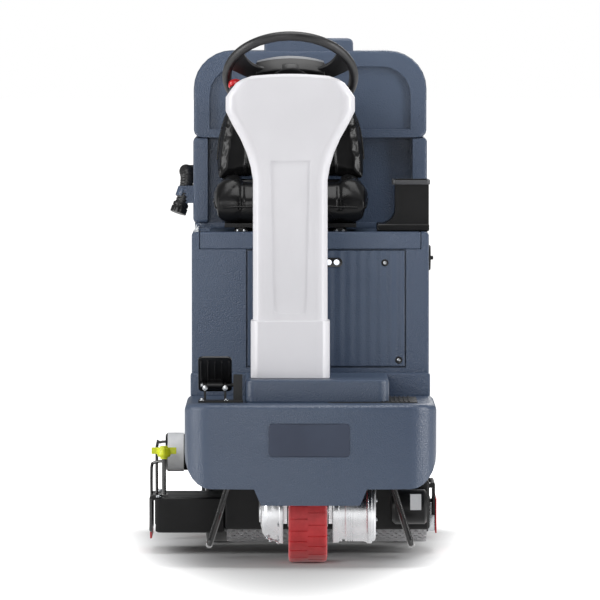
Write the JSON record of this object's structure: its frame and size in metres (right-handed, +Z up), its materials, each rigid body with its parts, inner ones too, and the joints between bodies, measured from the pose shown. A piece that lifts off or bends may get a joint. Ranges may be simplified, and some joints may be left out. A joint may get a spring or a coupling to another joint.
{
  "type": "ride-on floor scrubber",
  "caption": "Ride-on floor scrubber with steered front drive wheel, lifting brush deck, rear squeegee, driver's seat and stacked water tanks.",
  "frame": {"origin": "centre of the machine's outline, on the floor", "axes": "+Y from the bumper to the squeegee, so the machine drives towards -Y; +X to the driver's left; +Z up"},
  "size_m": [0.79, 1.6307, 1.4264],
  "materials": {
    "slate_blue_polyethylene": "fine pebble grain",
    "off_white_abs": "satin moulded",
    "grey_polymer": "moulded",
    "black_polymer": "satin moulded",
    "black_vinyl": "glossy upholstery vinyl",
    "black_painted_steel": "powder coat",
    "zinc_plated_steel": "zinc plate",
    "cast_aluminium": "as cast",
    "red_polyurethane": "moulded tread",
    "red_polymer": "smooth",
    "yellow_polymer": "moulded",
    "black_rubber": "moulded",
    "clear_lens": "clear"
  },
  "bodies": {
    "chassis": {"front_deck": "slate_blue_polyethylene", "bumper_plaque": "slate_blue_polyethylene", "chassis_frame": "black_painted_steel", "skid_right": "black_painted_steel", "skid_left": "black_painted_steel", "column_front_cover": "off_white_abs", "column_rear_cover": "grey_polymer", "column_post": "black_painted_steel", "steering_chain": "black_painted_steel", "pedal_bracket": "black_polymer", "solution_tank": "slate_blue_polyethylene", "service_panel": "slate_blue_polyethylene", "lamp_lens": "clear_lens", "battery_pack": "grey_polymer", "seat_lid_hinge": "zinc_plated_steel", "recovery_tank": "slate_blue_polyethylene", "drain_hose": "black_polymer", "deck_actuator": "black_painted_steel", "vacuum_hose_upper": "black_polymer"},
    "drive_unit": {"drive_yoke": "cast_aluminium", "drive_gear_case": "cast_aluminium", "drive_motor": "cast_aluminium"},
    "drive_wheel": {"drive_tyre": "red_polyurethane", "drive_hub": "cast_aluminium"},
    "steering_shaft": {"column_shaft": "black_painted_steel"},
    "steering_wheel": {"steering_wheel": "black_polymer", "wheel_hub_cover": "black_polymer"},
    "one_touch_button": {"one_touch_button": "grey_polymer"},
    "emergency_stop": {"emergency_stop": "red_polymer"},
    "key_switch": {"key_switch": "zinc_plated_steel"},
    "accelerator_pedal": {"accelerator_pedal": "black_polymer"},
    "seat_lid": {"seat_lid": "slate_blue_polyethylene", "seat_rails": "black_painted_steel", "storage_bin": "black_polymer"},
    "seat": {"seat_pan": "black_painted_steel", "seat_cushion": "black_vinyl", "seat_backrest": "black_vinyl"},
    "tank_lid": {"tank_lid": "slate_blue_polyethylene", "vacuum_motor": "grey_polymer"},
    "fill_cap": {"fill_cap": "black_polymer"},
    "panel_fastener_1": {"panel_fastener_1": "black_polymer"},
    "panel_fastener_2": {"panel_fastener_2": "black_polymer"},
    "brush_deck": {"brush_deck_hood": "black_painted_steel", "deck_end_box": "black_polymer", "brush_motor_right": "black_polymer", "brush_motor_left": "black_polymer", "side_blade_right": "red_polymer", "deck_lock_rod": "black_painted_steel"},
    "brush_front": {"brush_front": "black_polymer"},
    "brush_rear": {"brush_rear": "black_polymer"},
    "debris_tray": {"debris_tray": "black_polymer"},
    "side_squeegee": {"side_squeegee_left": "black_painted_steel", "side_blade_left": "red_polymer"},
    "wing_knob": {"wing_knob": "yellow_polymer"},
    "squeegee_link": {"squeegee_link": "black_painted_steel", "vacuum_hose_lower": "black_polymer"},
    "squeegee_head": {"squeegee_body": "cast_aluminium", "squeegee_blade": "red_polymer"},
    "rear_wheel_right": {"rear_wheel_right": "black_rubber"},
    "rear_wheel_left": {"rear_wheel_left": "black_rubber"}
  },
  "joints": [
    {"name": "drive_steer", "type": "hinge", "parent": "chassis", "child": "drive_unit", "pos_m": [0.038, -0.5255, 0.3], "axis": [0, 0, 1], "range_deg": [-75, 75]},
    {"name": "drive_wheel_spin", "type": "hinge", "parent": "drive_unit", "child": "drive_wheel", "pos_m": [0.038, -0.5255, 0.14], "axis": [1, 0, 0], "continuous": true},
    {"name": "steering_shaft_turn", "type": "hinge", "parent": "chassis", "child": "steering_shaft", "pos_m": [-0.009, -0.6005, 0.3], "axis": [0, 0, 1], "range_deg": [-225, 225]},
    {"name": "steering_wheel_turn", "type": "hinge", "parent": "chassis", "child": "steering_wheel", "pos_m": [-0.009, -0.4255, 1.304], "axis": [0, 0.6428, 0.766], "range_deg": [-225, 225]},
    {"name": "one_touch_press", "type": "slide", "parent": "steering_wheel", "child": "one_touch_button", "axis": [0, -0.6428, -0.766], "range_m": [0, 0.003], "stiffness_N_per_m": 500, "springref_m": -0.002},
    {"name": "emergency_stop_press", "type": "slide", "parent": "chassis", "child": "emergency_stop", "axis": [0, -0.6428, -0.766], "range_m": [0, 0.004]},
    {"name": "key_turn", "type": "hinge", "parent": "chassis", "child": "key_switch", "pos_m": [-0.12, -0.4535, 1.268], "axis": [0, 0.6428, 0.766], "range_deg": [0, 60]},
    {"name": "accelerator_press", "type": "hinge", "parent": "chassis", "child": "accelerator_pedal", "pos_m": [-0.21, -0.6505, 0.481], "axis": [1, 0, 0], "range_deg": [0, 20], "stiffness_Nm_per_rad": 2, "springref_deg": -20.05},
    {"name": "seat_lid_lift", "type": "hinge", "parent": "chassis", "child": "seat_lid", "pos_m": [-0.263, -0.0015, 0.8875], "axis": [0, -1, 0], "range_deg": [0, 80]},
    {"name": "seat_slide", "type": "slide", "parent": "seat_lid", "child": "seat", "axis": [0, -1, 0], "range_m": [0, 0.04]},
    {"name": "tank_lid_lift", "type": "hinge", "parent": "chassis", "child": "tank_lid", "pos_m": [0.045, 0.6815, 1.119], "axis": [-1, 0, 0], "range_deg": [0, 70]},
    {"name": "fill_cap_turn", "type": "hinge", "parent": "chassis", "child": "fill_cap", "pos_m": [0.368, 0.4025, 0.794], "axis": [1, 0, 0], "range_deg": [0, 90]},
    {"name": "panel_fastener_1_turn", "type": "hinge", "parent": "chassis", "child": "panel_fastener_1", "pos_m": [0.248, -0.2015, 0.796], "axis": [0, 1, 0], "range_deg": [0, 90]},
    {"name": "panel_fastener_2_turn", "type": "hinge", "parent": "chassis", "child": "panel_fastener_2", "pos_m": [0.286, -0.2015, 0.531], "axis": [0, 1, 0], "range_deg": [0, 90]},
    {"name": "brush_deck_lift", "type": "slide", "parent": "chassis", "child": "brush_deck", "axis": [0, 0, 1], "range_m": [-0.028, 0]},
    {"name": "brush_front_spin", "type": "hinge", "parent": "brush_deck", "child": "brush_front", "pos_m": [0.09, -0.0825, 0.105], "axis": [1, 0, 0], "continuous": true},
    {"name": "brush_rear_spin", "type": "hinge", "parent": "brush_deck", "child": "brush_rear", "pos_m": [0.09, 0.0735, 0.105], "axis": [1, 0, 0], "continuous": true},
    {"name": "debris_tray_slide", "type": "slide", "parent": "brush_deck", "child": "debris_tray", "axis": [1, 0, 0], "range_m": [0, 0.35]},
    {"name": "side_squeegee_swing", "type": "hinge", "parent": "brush_deck", "child": "side_squeegee", "pos_m": [0.38, 0.0245, 0.188], "axis": [0, -1, 0], "range_deg": [0, 75]},
    {"name": "wing_knob_turn", "type": "hinge", "parent": "brush_deck", "child": "wing_knob", "pos_m": [-0.355, -0.0955, 0.272], "axis": [0, 0, 1], "range_deg": [0, 90]},
    {"name": "squeegee_swing", "type": "hinge", "parent": "chassis", "child": "squeegee_link", "pos_m": [0.045, 0.5795, 0.2497], "axis": [0, 0, 1], "range_deg": [-12, 12], "stiffness_Nm_per_rad": 20, "deforming": ["vacuum_hose_upper"]},
    {"name": "squeegee_lift", "type": "hinge", "parent": "squeegee_link", "child": "squeegee_head", "pos_m": [0.045, 0.6595, 0.2497], "axis": [-1, 0, 0], "range_deg": [0, 8], "deforming": ["vacuum_hose_lower"]},
    {"name": "rear_wheel_right_spin", "type": "hinge", "parent": "chassis", "child": "rear_wheel_right", "pos_m": [-0.205, 0.4545, 0.14], "axis": [1, 0, 0], "continuous": true},
    {"name": "rear_wheel_left_spin", "type": "hinge", "parent": "chassis", "child": "rear_wheel_left", "pos_m": [0.295, 0.4545, 0.14], "axis": [1, 0, 0], "continuous": true}
  ],
  "couplings": [
    {"joint": "steering_shaft_turn", "follows": "drive_steer", "ratio": 3},
    {"joint": "steering_wheel_turn", "follows": "drive_steer", "ratio": 3}
  ]
}
